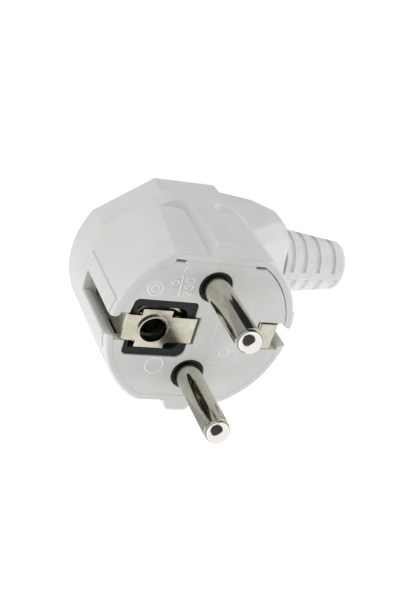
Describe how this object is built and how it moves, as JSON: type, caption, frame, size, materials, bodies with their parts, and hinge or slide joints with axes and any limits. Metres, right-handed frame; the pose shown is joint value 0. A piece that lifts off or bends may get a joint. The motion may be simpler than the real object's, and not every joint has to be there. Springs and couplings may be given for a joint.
{
  "type": "type f plug",
  "caption": "Round mains plug with two pins, side earth contacts, an earth-pin socket and an angled cord boot.",
  "frame": {"origin": "on the face plate's front surface, midway between the two pins", "axes": "+Z the way the pins point, pins on the Y axis, cord leaves along +X"},
  "size_m": [0.0611, 0.0368, 0.057],
  "materials": {
    "housing_white": "satin moulded",
    "insulator_dark": "matt moulded",
    "insulator_grey": "matt moulded",
    "pin_nickel": "bright nickel plating",
    "strip_nickel": "satin nickel plating",
    "terminal_brass": "turned",
    "screw_steel": "zinc plated",
    "boot_white": "soft moulded"
  },
  "bodies": {
    "root": {"cable_boot": "boot_white", "clamp_screw_lower": "screw_steel", "clamp_screw_upper": "screw_steel", "contact_carrier": "insulator_dark", "cord_clamp_bar": "insulator_grey", "earth_clamp_washer": "screw_steel", "earth_post": "terminal_brass", "earth_socket": "strip_nickel", "earth_strap": "strip_nickel", "earth_terminal_screw": "screw_steel", "face_plate": "housing_white", "housing_screw": "screw_steel", "line_clamp_washer": "screw_steel", "line_pin": "pin_nickel", "line_terminal_screw": "screw_steel", "neutral_clamp_washer": "screw_steel", "neutral_pin": "pin_nickel", "neutral_terminal_screw": "screw_steel", "outer_shell": "housing_white", "socket_spring": "strip_nickel", "terminal_housing": "insulator_grey", "threaded_insert": "terminal_brass"}
  },
  "joints": []
}
